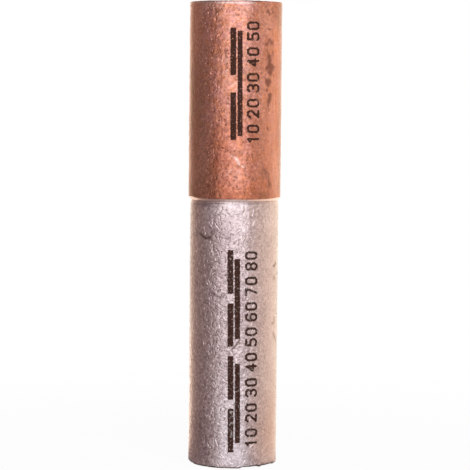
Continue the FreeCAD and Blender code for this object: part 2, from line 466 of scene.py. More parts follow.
def barrelProfiles(setup, size, weldRun):
    # the outside from the mouth to the weld, and the bore from the mouth to the drill point
    face = size["radius"] - setup["mouthRoundMm"]
    corners = [(size["leadIn"], 0, 1), (face, 0, meshing["faceStepMm"])]
    corners += [(face + setup["mouthRoundMm"] * math.sin(t), setup["mouthRoundMm"] * (1 - math.cos(t)), 1)
                for t in np.radians(np.linspace(0, 90, setup["roundSteps"] + 1)[1:])]
    corners += weldRun(setup, size["radius"], size["length"])
    centre = meshing["drillCentreMm"]
    slope = (size["tip"] - size["boreEnd"]) / size["boreRadius"]
    bore = [(size["leadIn"], 0, 1), (size["boreRadius"], size["boreStart"], meshing["leadInStepMm"]),
            (size["boreRadius"], size["boreEnd"], setup["boreStepMm"]),
            (centre, size["tip"] - centre * slope, meshing["drillStepMm"])]
    return np.array(profilePoints(corners)), np.array(profilePoints(bore))


def skinProfile(setup, size, outer, depth):
    # radius and height of every skin point, moved in along the profile's normal by the marks' depth
    tangent = np.gradient(outer, axis=0)
    normal = np.stack([tangent[:, 1], -tangent[:, 0]], 1)
    normal /= np.linalg.norm(normal, axis=1)[:, None]
    depth = np.minimum(depth - np.percentile(depth, meshing["topShare"]), 0) * micrometre
    insideMm, fadeMm = drum["facedMm"]
    depth *= np.clip((outer[:, :1] - size["radius"] + insideMm) / fadeMm, 0, 1)
    return outer[:, :1] + normal[:, :1] * depth, outer[:, 1:] + normal[:, 1:] * depth


def barrelFaces(rows, innerRows, columns, mouthUp):
    # quads of the outside and the bore, then the fans that close the drill point and the weld face
    outside = np.arange(rows * columns).reshape(rows, columns)
    inside = np.arange(innerRows * columns).reshape(innerRows, columns) + rows * columns
    faces = [np.stack([g[:-1], np.roll(g[:-1], -1, 1), np.roll(g[1:], -1, 1), g[1:]], -1).reshape(-1, 4)
             for g in (outside, np.vstack([outside[:1], inside])[::-1])]
    tipPoint = (rows + innerRows) * columns
    tipFan, weldFan = [np.stack([ring, np.roll(ring, -1), np.full(columns, centre)], -1)
                       for ring, centre in ((inside[-1], tipPoint), (outside[-1], tipPoint + 1))]
    faces += [tipFan[:, ::-1], weldFan]
    return [part[:, ::-1] if mouthUp > 0 else part for part in faces]


def barrelMap(along, innerRows, turn, mouthUp):
    # where each corner of barrelFaces lies on the bake's map
    columns = len(turn)
    spots = []
    for v in (meshing["outsideV"][0] + np.ptp(meshing["outsideV"]) * along / along[-1],
              np.linspace(*meshing["boreV"], innerRows + 1)):
        row, col = np.meshgrid(np.arange(len(v) - 1), np.arange(columns), indexing="ij")
        u0, u1 = col / columns, (col + 1) / columns
        spots.append(np.stack([np.stack([u0, v[row]], -1), np.stack([u1, v[row]], -1),
                               np.stack([u1, v[row + 1]], -1), np.stack([u0, v[row + 1]], -1)],
                              2).reshape(-1, 4, 2))
    for middle in np.array(meshing["discCentres"]):
        rim = middle + meshing["discRadius"] * np.stack([np.sin(turn), np.cos(turn)], -1)
        spots.append(np.stack([rim, np.roll(rim, -1, 0), np.broadcast_to(middle, rim.shape)], 1))
    spots[2] = spots[2][:, ::-1]                 # the drill point's fan, turned as in barrelFaces
    return np.concatenate([(s[:, ::-1] if mouthUp > 0 else s).reshape(-1) for s in spots])


def makeBarrel(setup, weldRun):
    size = barrelSizes(setup)
    radius, mouth, mouthUp = size["radius"], size["mouth"], setup["mouthUp"]
    outer, inner = barrelProfiles(setup, size, weldRun)
    along = np.concatenate([[0], np.cumsum(np.hypot(*np.diff(outer, axis=0).T))])
    columns = round(2 * math.pi * radius / setup["gridMm"])
    rows, innerRows = len(outer), len(inner) - 1
    turn = np.linspace(-np.pi, np.pi, columns, endpoint=False)

    across = np.broadcast_to(turn * radius, (rows, columns))
    up = np.broadcast_to((mouth - mouthUp * outer[:, 1])[:, None], (rows, columns))
    depth, paint = tumbledSurface(setup, (rows, columns), across, up)
    paint["inkMm"] = inkDistance(across, up, setup)
    skinRadius, skinHeight = skinProfile(setup, size, outer, depth)
    boreRadius, boreHeight = [np.repeat(inner[1:, i:i + 1], columns, 1) for i in (0, 1)]
    points = [np.stack([r * np.sin(turn), -r * np.cos(turn), mouth - mouthUp * h], -1).reshape(-1, 3)
              for r, h in ((skinRadius, skinHeight), (boreRadius, boreHeight))]
    points.append([[0, 0, mouth - mouthUp * size["tip"]], [0, 0, mouth - mouthUp * size["length"]]])
    points = np.concatenate(points) * mm

    parts = barrelFaces(rows, innerRows, columns, mouthUp)
    faces = [face for part in parts for face in part.tolist()]
    mesh = bpy.data.meshes.new(setup["name"])
    mesh.from_pydata(points.tolist(), [], faces)
    mesh.polygons.foreach_set("use_smooth", [True] * len(faces))
    for name, field in paint.items():
        values = np.full(len(points), farFromInk if name == "inkMm" else 0.0, np.float32)
        values[:rows * columns] = field.ravel()
        mesh.attributes.new(name, "FLOAT", "POINT").data.foreach_set("value", values)
    bakeMap = barrelMap(along, innerRows, turn, mouthUp)
    mesh.uv_layers.new(name="OFBake").data.foreach_set("uv", bakeMap.astype(np.float32))

    # the faced and drilled parts take the second material
    facedRows = np.count_nonzero(outer[:, 1] == 0) - 1
    slots = np.ones(len(faces), int)
    slots[facedRows * columns:(rows - 1) * columns] = 0
    mesh.polygons.foreach_set("material_index", slots)
    mesh.update()
    barrel = bpy.data.objects.new(setup["name"], mesh)
    bpy.context.scene.collection.objects.link(barrel)
    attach(barrel, "root")
    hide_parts(setup["node"])
    print(setup["name"], "made:", columns, "x", rows, "points outside,",
          sum(len(face) - 2 for face in faces), "triangles")
    return barrel


# The rows in the two barrels' dictionaries:
# tumble is (wave in mm, micrometres, seed, how much longer round the barrel than up it)
# patches are (strength on the back, seed, [(degrees, mm up, degrees wide, mm tall, strength), ...])
# bars are (left, right, low, high)
# marks are (mm wide, micrometres deep, paint, its strength or 0 for a plain dent, [(degrees, mm up), ...])
aluminiumBarrel = {
    "name": "aluminium_barrel_tumbled", "node": "aluminium_barrel", "slot": "aluminium",
    "outside": "aluminium_barrel_outside", "bore": "aluminium_bore",
    "mouthUp": -1, "gridMm": 0.13, "boreStepMm": 0.9,
    "mouthRoundMm": 0.32, "roundSteps": 6, "leadInMm": 0.5,
    "reliefNoseMm": 0.5, "reliefDeepMm": 0.1, "reliefSteps": 4,
    "turnedMm": (0.5, 0.5),      # this much by the weld is left as turned, then the hammering grows
    "tumble": [(5.0, 7, 11, 1), (1.6, 3.2, 12, 1), (0.85, 5.6, 13, 1.9), (0.45, 2.8, 14, 1.8)],
    "patches": {
        "smooth": (0.3, 37, [
            (63, 18, 24, 40, 0.9), (-66, 18, 12, 40, 0.65), (0, 33.5, 40, 2.5, 0.4), (8, 2, 20, 2.5, 0.4)]),
        "tarnish": (0.3, 32, [
            (-77, 13, 7, 9, 0.5), (-12, 27.5, 10, 2.5, 0.3), (-8, 15, 11, 5, 0.4), (14, 17, 7, 3, 0.25),
            (66, 20, 24, 30, 0.18), (36, 8, 8, 8, 0.1), (-48, 12.5, 12, 2.5, 0.3), (-34, 24, 14, 6, 0.2),
            (-9, 31.6, 13, 2.3, 0.65), (-44, 35.25, 18, 0.25, 0.9), (-44, 3, 20, 5, 0.6),
            (6, 22.8, 12, 2.4, 0.5), (9, 27.4, 8, 2, 0.3)]),
        # paler patches
        "fresh": (0.3, 33, [
            (0, 35.4, 26, 0.9, 0.4), (-34, 34.8, 11, 1.4, 0.85), (-72, 2.5, 9, 4, 0.9),
            (-30, 32.3, 9, 2.2, 0.4), (-24, 28.4, 6, 1.8, 0.3), (-24, 24.2, 7, 1.8, 0.55),
            (-12, 4, 22, 5, 0.6), (8, 10, 16, 5.5, 0.6), (8, 1.6, 16, 2.2, 0.9), (0, 6.5, 14, 2.5, 0.2),
            (-18, 10, 10, 7, 0.4), (44, 34.4, 14, 2.2, 0.25)]),
        # painted shade: a warm shade low on the right side, and a dark line along the foot
        "dusk": (0.05, 36, [
            (58, 4, 26, 5, 0.5), (76, 8, 18, 5, 0.3), (44, 20, 10, 12, 0.1), (0, 0, 90, 0.2, 0.8)]),
    },
    "printTop": 29.4,
    "bars": [(-0.87, -0.07, 23.52, 29.37), (-0.87, -0.07, 16.45, 22.27), (-0.85, -0.07, 9.32, 15.19),
             (-0.85, -0.07, 2.22, 8.13), (0.09, 0.83, 17.46, 28.17), (0.12, 0.83, 3.47, 14.18)],
    "numbers": range(10, 90, 10), "numberStart": 2.95, "numberBase": 3.15,
    "marks": [
        (0.19, 14, "stain", 0.85, [(-49.5, 31.4), (-43.6, 31.0), (-38, 30.8), (-33.5, 30.85)]),
        (0.19, 8, "stain", 1.0, [(-34, 30.95), (-32, 31.05)]),
        (0.15, 6, "stain", 0.6, [(-31, 31.55), (-28.8, 31.9)]),
        (0.25, 0, "stain", 0.35, [(-58, 31.7), (-57, 31.2)]),
        (0.12, 14, "stain", 0, [(-25.5, 26.25), (-20.2, 25.7)]),
        (0.12, 14, "stain", 0, [(-17.7, 25.7), (-12, 26.4)]),
        (0.17, 12, "stain", 0.6, [(-29, 23.6), (-23, 23.15), (-17.7, 23.1)]),
        (0.12, 14, "stain", 0, [(-35.6, 21.75), (-30.3, 21.2)]),
        (0.13, 18, "stain", 0.95, [(-1.4, 16.1), (3.6, 16.6), (8.2, 17.3)]),
        (0.16, 12, "stain", 0, [(-1.9, 16.6), (6, 17.6)]),
        (0.22, 6, "stain", 0.55, [(64.4, 17.9), (70, 17.3), (76, 16.7)]),
        (0.1, 9, "stain", 0, [(-47, 8.1), (-35, 6.3)]),
        (0.1, 7, "stain", 0, [(-44, 8.4), (-41, 6.2)]),
        (0.19, 6, "stain", 0.8, [(63.5, 27.0), (67.5, 27.1), (71, 27.35)]),
        (0.3, 0, "stain", 0.4, [(77, 26.0), (80, 25.9)]),
        (0.24, 0, "stain", 0.5, [(65, 25.4), (67, 25.3)]),
        (0.17, 0, "stain", 0.55, [(60.5, 19.25), (66.5, 19.35), (67, 20.0)]),
        (0.6, 0, "bare", 0.15, [(-3, 7.6), (-3, 2.4)]),
        (0.18, 0, "bare", 0.9, [(-3.2, 7.9), (-1.2, 7.2), (-2.8, 6.7)]),
        (0.16, 0, "bare", 1.0, [(-1, 6.3), (-3.5, 5.9)]),
        (0.2, 0, "bare", 0.9, [(-0.8, 5.2), (-1.4, 4.2)]),
        (0.16, 0, "bare", 0.9, [(-8, 3.2), (-6.4, 2.8)]),
        (0.16, 0, "bare", 1.2, [(-4.3, 28.25), (-4.2, 28.2)]),
        (0.5, 0, "bare", 0.25, [(-4, 28.8), (-4, 24)]),
        (0.24, 170, "stain", 0, [(14, 0.06), (25, 0.1), (36, 0.05)]),
        (0.3, 150, "stain", 0, [(44, 0.1), (66, 0.1)]),
        (0.3, 90, "stain", 0, [(-86, 0.1), (-66, 0.1)]),
        # painted shade: the dark line along the foot
        (0.1, 0, "stain", 0.7, [(-80, 0.08), (-25, 0.08), (8, 0.06), (34, 0.2), (72, 0.1)]),
        (0.12, 0, "stain", 1.0, [(-42, 0.12), (-24, 0.1)]),
        (0.14, 0, "stain", 1.0, [(33, 0.1), (42, 0.12)]),
    ],
}

copperBarrel = {
    "name": "copper_barrel_tumbled", "node": "copper_barrel", "slot": "copper",
    "outside": "copper_barrel_outside", "bore": "copper_bore",
    "mouthUp": 1, "gridMm": 0.12, "boreStepMm": 0.7,
    "mouthRoundMm": 0.2, "roundSteps": 4, "leadInMm": 0.4,
    "shoulderMm": 0.35, "shoulderRoundMm": 0.3, "shoulderSteps": 5, "shoulderStepMm": 0.06,
    "shoulderRises": [(-72, 15, 0.2), (70, 17, 0.15)],    # (degrees, degrees wide, mm higher)
    "turnedMm": (0.3, 0.4),
    "tumble": [(6.0, 9, 21, 1), (1.9, 4.4, 22, 1), (0.9, 7.2, 23, 2.2), (0.48, 3.0, 24, 2.2)],
    "patches": {
        "smooth": (0.3, 38, [
            (60, 46, 25, 30, 0.9), (-66, 48, 17, 30, 0.9)]),
        # painted warm reflection on the right side
        "warm": (0.1, 39, [
            (60, 48, 24, 30, 0.26)]),
        "tarnish": (0.35, 31, [
            (-15, 56, 12, 5, 0.6), (-15, 45, 14, 5, 0.7), (-16, 39, 17, 5, 1.0), (16, 50.8, 9, 2.6, 0.5),
            (18, 45, 12, 2.4, 0.6), (12, 57, 12, 3, 0.2), (55, 61.0, 14, 1.4, 0.8),
            (-6, 36.9, 22, 1.0, 0.7), (40, 36.6, 12, 0.8, 0.6), (78, 50, 10, 30, 0.75),
            (69, 53, 9, 10, 0.6)]),
        # paler, pinker patches
        "fresh": (0.3, 34, [
            (-38, 61.7, 15, 1.2, 0.6), (-48, 60.2, 11, 2.0, 0.3), (13, 61.4, 7, 0.8, 0.4),
            (-54, 56, 12, 4, 0.3), (46, 60.4, 10, 2.2, 0.4), (-40, 44, 10, 9, 0.15),
            (-52, 40, 14, 5, 0.25), (64, 38.5, 10, 3, 0.35), (14, 54.5, 8, 6, 0.15), (33, 52, 8, 12, 0.2),
            (54, 44, 14, 9, 0.32), (-50, 47, 9, 5.5, 0.09), (-36, 42.3, 7, 3, 0.12),
            (-70, 39, 8, 3, 0.14), (33, 43.5, 6, 3, 0.1), (-2, 39.5, 10, 2.5, 0.25)]),
        # painted shade: the dark left side of the copper, and a few smaller shaded spots
        "dusk": (0.2, 35, [
            (-72, 48, 11, 20, 0.95), (-48, 42, 16, 8, 0.35), (-50, 52, 16, 7, 0.35),
            (-26, 37.5, 10, 3, 0.3), (72, 60.6, 13, 1.8, 0.7), (-10, 52, 8, 7, 0.2), (15, 52, 8, 6, 0.25),
            (-60, 37.5, 24, 2.5, 0.3), (40, 36.5, 10, 0.7, 0.5)]),
    },
    "printTop": 58.8,
    "bars": [(-0.74, 0.03, 52.53, 58.78), (-0.74, 0.03, 43.97, 50.28), (0.2, 0.89, 44.48, 58.38)],
    "numbers": range(10, 60, 10), "numberStart": 43.6, "numberBase": 3.12,
    "marks": [
        (0.3, 0, "stain", 0.6, [(43, 61.1), (46, 60.6), (52, 60.9)]),
        (0.2, 0, "stain", 0.7, [(56, 60.9), (61, 60.2)]),
        (0.28, 0, "stain", 0.5, [(50, 61.3), (56, 61.8), (66, 61.4)]),
        (0.25, 0, "stain", 0.6, [(73, 62.1), (74, 59.8)]),
        (0.18, 0, "stain", 0.6, [(43, 58.75), (48, 58.65)]),
        (0.34, 6, "stain", 0.75, [(42, 56.7), (46, 57.2), (51, 56.8)]),
        (0.2, 6, "stain", 0.75, [(42.1, 55.9), (44.5, 55.3)]),
        (0.2, 0, "stain", 0.5, [(51, 56), (54, 55.3)]),
        (0.5, 6, "stain", 0.95, [(46.3, 55.0), (47, 53.8), (48.5, 52.9)]),
        (0.5, 8, "stain", 1.0, [(43.5, 53.6), (48, 53.8), (51.5, 53.5)]),
        (0.42, 5, "stain", 0.9, [(41, 51.8), (46, 51.7), (44, 51.3)]),
        (0.2, 0, "stain", 0.65, [(54.5, 52.7), (55.5, 52.0)]),
        (0.22, 0, "stain", 0.65, [(42.5, 50.7), (43.5, 50.5)]),
        (0.42, 7, "stain", 0.88, [(48, 50.0), (46.5, 49.4), (45, 48.7)]),
        (0.2, 0, "stain", 0.7, [(45, 48.2), (46, 47.9)]),
        (0.48, 5, "stain", 0.62, [(40, 39.9), (44, 39.5), (47.5, 38.7), (49, 38.0)]),
        (0.3, 0, "stain", 0.4, [(33, 39.6), (38, 39.1)]),
        (0.2, 4, "stain", 0.75, [(44, 45.6), (45.5, 45.3)]),
        (0.18, 0, "stain", 0.5, [(21.5, 38.9), (22.5, 38.7)]),
        (0.2, 6, "stain", 0.7, [(1.6, 39.1), (2.6, 38.95)]),
        # painted highlights: a bright curved dent below the print, and the bright line round the rim's top
        (0.14, 6, "burnish", 0.35, [(-3.5, 41.85), (1.5, 41.6)]),
        (0.22, 10, "burnish", 0.6, [(1.8, 41.55), (3.9, 41.2), (5.0, 40.8)]),
        (0.18, 6, "burnish", 0.45, [(8.5, 40.55), (11, 40.35)]),
        (0.13, 4, "burnish", 0.25, [(-12, 39.0), (-8.5, 39.5), (-3.5, 40.05)]),
        (0.15, 4, "burnish", 0.25, [(5.3, 39.75), (8.5, 39.1)]),
        (0.17, 0, "burnish", 0.66, [(-24, 62.07), (23, 62.07)]),
        (0.28, 0, "burnish", 0.42, [(-66, 62.2), (-28, 62.15)]),
        # painted shade: a dark line round the rim's top, and a brown shade on its right
        (0.075, 0, "stain", 0.6, [(-34, 62.28), (34, 62.28)]),
        (0.35, 0, "stain", 0.3, [(30, 62.1), (50, 61.9), (80, 61.8)]),
        (0.14, 14, "stain", 0, [(-3, 59.1), (1, 59.3), (5.3, 59.0)]),
        (0.17, 14, "stain", 0.8, [(-14, 55.8), (-12.1, 55.2), (-10.2, 54.8)]),
        (0.12, 8, "stain", 0.7, [(-1, 60.8), (0.7, 60.4)]),
        (0.12, 6, "stain", 0.7, [(-21.5, 61.2), (-20.8, 61.1)]),
        (0.9, 0, "stain", 0.35, [(79, 61), (79, 50), (75.5, 46.5), (74, 37.2)]),
        (0.13, 0, "bare", 0.25, [(5.1, 56.6), (5.5, 56.5)]),
        (0.12, 0, "bare", 0.3, [(-2.2, 53.9), (-1.9, 53.8)]),
    ],
}


def aluminiumWeldRun(setup, radius, length):
    # the straight wall, then the groove that a round-nosed tool leaves at the weld
    nose = setup["reliefNoseMm"]
    centre = radius - setup["reliefDeepMm"] + nose
    start = math.acos((centre - radius) / nose)
    return [(radius, length - nose * math.sin(start), setup["gridMm"])] + [
        (centre - nose * math.cos(t), length - nose * math.sin(t), 1)
        for t in np.linspace(start, 0, setup["reliefSteps"] + 1)[1:]]


def copperWeldRun(setup, radius, length):
    # the straight wall, then the turned slope of 45 degrees down to the aluminium, rounded over above
    shoulder, over = setup["shoulderMm"], setup["shoulderRoundMm"]
    start = length - shoulder - over * math.tan(math.radians(45 / 2))
    return [(radius, start, setup["gridMm"])] + [
        (radius - over + over * math.cos(t), start + over * math.sin(t), 1)
        for t in np.radians(np.linspace(0, 45, setup["shoulderSteps"] + 1)[1:])] + [
        (radius - shoulder, length, setup["shoulderStepMm"])]


aluminium = makeBarrel(aluminiumBarrel, aluminiumWeldRun)
copper = makeBarrel(copperBarrel, copperWeldRun)


def millimetrePlace(tree):
    # the object's own coordinates in millimetres
    where = addNode(tree, "TexCoord")
    return addNode(tree, "VectorMath", {"operation": "SCALE", "Scale": 1 / mm}, {0: where.outputs["Object"]})


def unrolledPlace(tree, place, setup):
    # millimetres round the barrel and up it, for marks that lie on the skin
    apart = addNode(tree, "SeparateXYZ", None, {0: place})
    front = addNode(tree, "Math", {"operation": "MULTIPLY", 1: -1.0}, {0: apart.outputs["Y"]})
    turn = addNode(tree, "Math", {"operation": "ARCTAN2"}, {0: apart.outputs["X"], 1: front})
    radius = mounts[setup["outside"]]["dims"]["r_mm"]
    across = addNode(tree, "Math", {"operation": "MULTIPLY", 1: radius}, {0: turn})
    return addNode(tree, "CombineXYZ", None, {"X": across, "Y": apart.outputs["Z"]})


def heightCurve(tree, place, stops):
    # a value that changes up the barrel, from (mm up, value) stops
    apart = addNode(tree, "SeparateXYZ", None, {0: place})
    low, high = stops[0][0], stops[-1][0]
    share = addNode(tree, "MapRange", {"From Min": low, "From Max": high}, {"Value": apart.outputs["Z"]})
    ramp = addNode(tree, "ValToRGB", None, {0: share})
    fillRamp(ramp.color_ramp, [((height - low) / (high - low), value) for height, value in stops])
    return ramp


noiseLow, noiseHigh = 0.3, 0.7   # nearly all of a noise's values lie between these


# The print's matt ink lies over the metal, with rough edges, and thinner in specks and where it is worn.
ink = {
    "colour": "#3a1e14",
    "roughness": 0.5,
    "edgeMm": 0.055,
    "softMm": 0.03,
    "edgeNoise": (0.2222, 3.0, 0.6),   # (mm, detail, roughness)
    "thinNoise": (0.3125, 2.0, 0.7),
    "wornAway": 0.16,
    "thinFrom": (0.58, 0.74),
    "thinnest": 0.5,
}


def addInk(tree, place):
    # how much of each spot is inked
    shape, bare = [addNode(tree, "Attribute", {"attribute_name": name}).outputs["Fac"]
                   for name in ("inkMm", "bare")]
    rough, thin = [addNode(tree, "TexNoise", {"Scale": 1 / sizeMm, "Detail": detail, "Roughness": harsh},
                           {"Vector": place})
                   for sizeMm, detail, harsh in (ink["edgeNoise"], ink["thinNoise"])]
    ragged = addNode(tree, "MapRange", {"From Min": noiseLow, "From Max": noiseHigh,
                                        "To Min": -ink["edgeMm"], "To Max": ink["edgeMm"]}, {"Value": rough})
    edge = addNode(tree, "Math", {"operation": "ADD"}, {0: shape, 1: ragged})
    covered = addNode(tree, "MapRange", {"From Min": ink["softMm"], "From Max": -ink["softMm"]},
                      {"Value": edge})
    worn = addNode(tree, "Math", {"operation": "MULTIPLY_ADD", 1: ink["wornAway"]}, {0: bare, 2: thin})
    left = addNode(tree, "MapRange", {"From Min": ink["thinFrom"][0], "From Max": ink["thinFrom"][1],
                                      "To Min": 1.0, "To Max": ink["thinnest"]}, {"Value": worn})
    return addNode(tree, "Math", {"operation": "MULTIPLY"}, {0: covered, 1: left})


# What the drum leaves on both metals, beside each one's own colours and scratches.
tumbled = {
    "smoothBump": 0.15,          # how much of it is left where the skin is smooth
    "specular": 0.2,
    "mottleNoise": (0.4, 2.0, 0.6),     # patchy spots: (mm, detail, roughness)
    "mottleRange": (0.36, 0.72),
    "grainBump": 1.5,
    "longer": (0.5, 0.5, 1.0),   # squeezes the place round the barrel, so that grain comes out long
    "wiped": (0.8, 0.8, 0.14),   # stretches it up the barrel, for the streaks of wiping and bundling
}


def skinSources(tree, place, skin):
    # the noises that a skin is painted from, how strongly the drum has marked each spot, and how much of
    # each colour there is: the paints that the mesh carries, soiling, and dirt in the pits
    sources = {name: addNode(tree, "TexNoise", {"Scale": 1 / sizeMm, "Detail": detail, "Roughness": harsh,
                                                "Distortion": twist}, {"Vector": place})
               for name, (sizeMm, detail, harsh, twist) in skin["noises"].items()}
    amounts = {name: addNode(tree, "Attribute", {"attribute_name": name}).outputs["Fac"]
               for name in skin["paints"]}
    drummed = addNode(tree, "MapRange", {"To Min": 1.0, "To Max": tumbled["smoothBump"]},
                      {"Value": amounts["smooth"]})
    amounts["soiled"] = addNode(tree, "Math", {"operation": "MULTIPLY", 1: skin["soiled"]},
                                {0: amounts["tarnish"]})
    noise, tarnished, start, end, most = skin["pits"]
    reach = addNode(tree, "Math", {"operation": "MULTIPLY_ADD", 1: tarnished},
                    {0: amounts["tarnish"], 2: sources[noise]})
    dirt = addNode(tree, "MapRange", {"From Min": start, "From Max": end, "To Max": most}, {"Value": reach})
    amounts["pits"] = addNode(tree, "Math", {"operation": "MULTIPLY"}, {0: dirt, 1: drummed})
    return sources, amounts, drummed


def layCoats(tree, colour, coats, amounts):
    # coats are (what says how much of it there is, hex colour), and each one covers those before it
    for name, hexText in coats:
        colour = addNode(tree, "Mix", {"data_type": "RGBA", 7: linearColour(hexText)},
                         {0: amounts[name], 6: colour})
    return colour


def mottle(tree, place, colour, share, darkPale):
    # spots that are a little darker or paler
    sizeMm, detail, harsh = tumbled["mottleNoise"]
    noise = addNode(tree, "TexNoise", {"Scale": 1 / sizeMm, "Detail": detail, "Roughness": harsh},
                    {"Vector": place})
    (start, end), (dark, pale) = tumbled["mottleRange"], darkPale
    shade = addNode(tree, "MapRange", {"From Min": start, "From Max": end, "To Min": dark, "To Max": pale},
                    {"Value": noise})
    return addNode(tree, "Mix", {"data_type": "RGBA", "blend_type": "MULTIPLY"},
                   {0: share, 6: colour, 7: shade})


def addScratches(tree, unrolled, apartMm, longMm, wideMm, curl, share, shift):
    # short curved scratches, at most one to a cell, each turned its own way and cut its own depth
    moved = addNode(tree, "VectorMath", {"operation": "ADD", 1: shift}, {0: unrolled})
    cells = addNode(tree, "TexVoronoi", {"voronoi_dimensions": "2D", "Scale": 1 / apartMm}, {"Vector": moved})
    local = addNode(tree, "VectorMath", {"operation": "SUBTRACT"}, {0: moved, 1: cells.outputs["Position"]})
    chance = addNode(tree, "SeparateColor", None, {0: cells.outputs["Color"]})
    angle = addNode(tree, "MapRange", {"To Max": math.pi}, {"Value": chance.outputs[0]})
    turned = addNode(tree, "VectorRotate", {"rotation_type": "Z_AXIS"}, {"Vector": local, "Angle": angle})
    apart = addNode(tree, "SeparateXYZ", None, {0: turned})
    square = addNode(tree, "Math", {"operation": "MULTIPLY"}, {0: apart.outputs["X"], 1: apart.outputs["X"]})
    curled = addNode(tree, "MapRange", {"To Min": -curl, "To Max": curl}, {"Value": chance.outputs[1]})
    bent = addNode(tree, "Math", {"operation": "MULTIPLY_ADD"}, {0: square, 1: curled, 2: apart.outputs["Y"]})
    beside, along = [addNode(tree, "Math", {"operation": "ABSOLUTE"}, {0: side})
                     for side in (bent, apart.outputs["X"])]
    groove = addNode(tree, "MapRange", {"interpolation_type": "SMOOTHSTEP", "From Max": wideMm,
                                        "To Min": 1.0, "To Max": 0.0}, {"Value": beside})
    half, fade = longMm / 2, longMm / 5
    ends = addNode(tree, "MapRange", {"From Min": half - fade, "From Max": half, "To Min": 1.0,
                                      "To Max": 0.0}, {"Value": along})
    whole = addNode(tree, "Math", {"operation": "MULTIPLY"}, {0: groove, 1: ends})
    cut = addNode(tree, "MapRange", {"From Min": 1 - share}, {"Value": chance.outputs[2]})
    return addNode(tree, "Math", {"operation": "MULTIPLY"}, {0: whole, 1: cut})


def addBump(tree, place, setup, skin, strength):
    # a fine long grain, and the layers of scratches cut into it
    longer = addNode(tree, "VectorMath", {"operation": "MULTIPLY", 1: tumbled["longer"]}, {0: place})
    sizeMm, detail, twist = skin["grain"]
    grain = addNode(tree, "TexNoise", {"Scale": 1 / sizeMm, "Detail": detail, "Distortion": twist},
                    {"Vector": longer})
    height = addNode(tree, "Math", {"operation": "MULTIPLY", 1: tumbled["grainBump"]}, {0: grain})
    unrolled = unrolledPlace(tree, place, setup)
    for deep, *layer in skin["scratches"]:
        scratches = addScratches(tree, unrolled, *layer)
        height = addNode(tree, "Math", {"operation": "MULTIPLY_ADD", 1: -deep}, {0: scratches, 2: height})
    return addNode(tree, "Bump", {"Distance": skin["bumpDeep"] * micrometre * mm},
                   {"Height": height, "Strength": strength})


def finishMetal(tree, place, colour, roughness, bump):
    mask = addInk(tree, place)
    inked = addNode(tree, "Mix", {"data_type": "RGBA", 7: linearColour(ink["colour"])}, {0: mask, 6: colour})
    matt = addNode(tree, "Mix", {3: ink["roughness"]}, {0: mask, 2: roughness})
    metal = addNode(tree, "Math", {"operation": "SUBTRACT", 0: 1.0}, {1: mask})
    shader = addNode(tree, "BsdfPrincipled", {"Specular IOR Level": tumbled["specular"]}, {
        "Base Color": inked, "Roughness": matt, "Metallic": metal, "Normal": bump})
    addNode(tree, "OutputMaterial", None, {"Surface": shader})


# Tumbled copper: a soft salmon metal, hammered dull by the drum, with brown tarnish in the pits.
# its colours also hold painted glints, highlights and shade, and a painted warm reflection
copperSkin = {
    "paints": ("smooth", "warm", "dusk", "fresh", "tarnish", "stain", "burnish"),
    "noises": {                  # (mm, detail, roughness, distortion)
        "ground": (2.222, 3.0, 0.55, 0.0),
        "blush": (1.25, 4.0, 0.7, 0.5),
        "knocks": (0.4762, 2.0, 0.65, 0.0),
        "hue": (0.909, 3.0, 0.65, 0.0),
        "flecks": (0.5, 2.0, 0.55, 0.3),
    },
    # (what brings a colour in, its value where the colour starts, and where it is full, the most of it)
    "reaches": {
        "orange": ("blush", 0.5, 0.36, 0.8),
        "pink": ("blush", 0.49, 0.63, 0.8),
        "knocked": ("knocks", 0.55, 0.72, 0.7),      # painted glints: bright specks standing in for hammered facets that catch the light
        # stains and painted shade lines: a paler frayed rim and a darker core
        "stainRim": ("frayed", 0.15, 0.5, 0.85),
        "stainCore": ("frayed", 0.45, 0.8, 0.9),
        "smear": ("rubbed", -0.15, 0.5, 0.95),       # painted highlight: bright metal on the dents, the rim's top and the weld slope
    },
    "pits": ("flecks", 0.18, 0.58, 0.85, 0.48),      # the same, with what tarnish adds to the noise
    "soiled": 0.46,              # the most that tarnish brings in
    "fray": 0.25,                # how far the flecks fray the stains and the painted shade lines
    "rubBroken": -0.5,           # how much they break up a painted highlight
    "heat": [(36, 0.68), (40, 0.5), (46, 0.22), (51, 0)],     # the weld has browned the metal near it
    "ground": [(0.35, "#e4a184"), (0.5, "#eaaa8e"), (0.65, "#efb39c")],
    "metal": [("orange", "#e49a70"), ("pink", "#ecaea4"), ("knocked", "#ffd3c2"), ("heat", "#c67e58"),
              ("warm", "#e2905f")],
    # the colours of the copper's painted shade
    "dusk": [(0.4, "#908862"), (0.5, "#9c8873"), (0.6, "#a58780")],
    "worn": [("fresh", "#fcd0be"), ("soiled", "#bb765c")],
    "wiping": (0.86, 1.14),
    "mottle": (0.76, 1.36),
    # pit dirt, stains with the painted shade lines, and the painted highlight
    "dirt": [("pits", "#974f3c"), ("stainRim", "#ba8a78"), ("stainCore", "#9a6a59"), ("smear", "#fbeee6")],
    "roughness": [(36, 0.28), (42, 0.27), (50, 0.24), (62, 0.2)],
    "grain": (1 / 3, 3.0, 0.3),  # (mm, detail, distortion)
    # (depth, mm between scratches, mm long, mm wide, curl, share that is cut, shift)
    "scratches": [(0.6, 1.0, 0.9, 0.12, 0.9, 1.0, (0.3, 0.4, 0)),
                  (1.7, 0.6, 0.36, 0.13, 1.2, 0.6, (7.1, 3.2, 0))],
    "bumpDeep": 38,
}


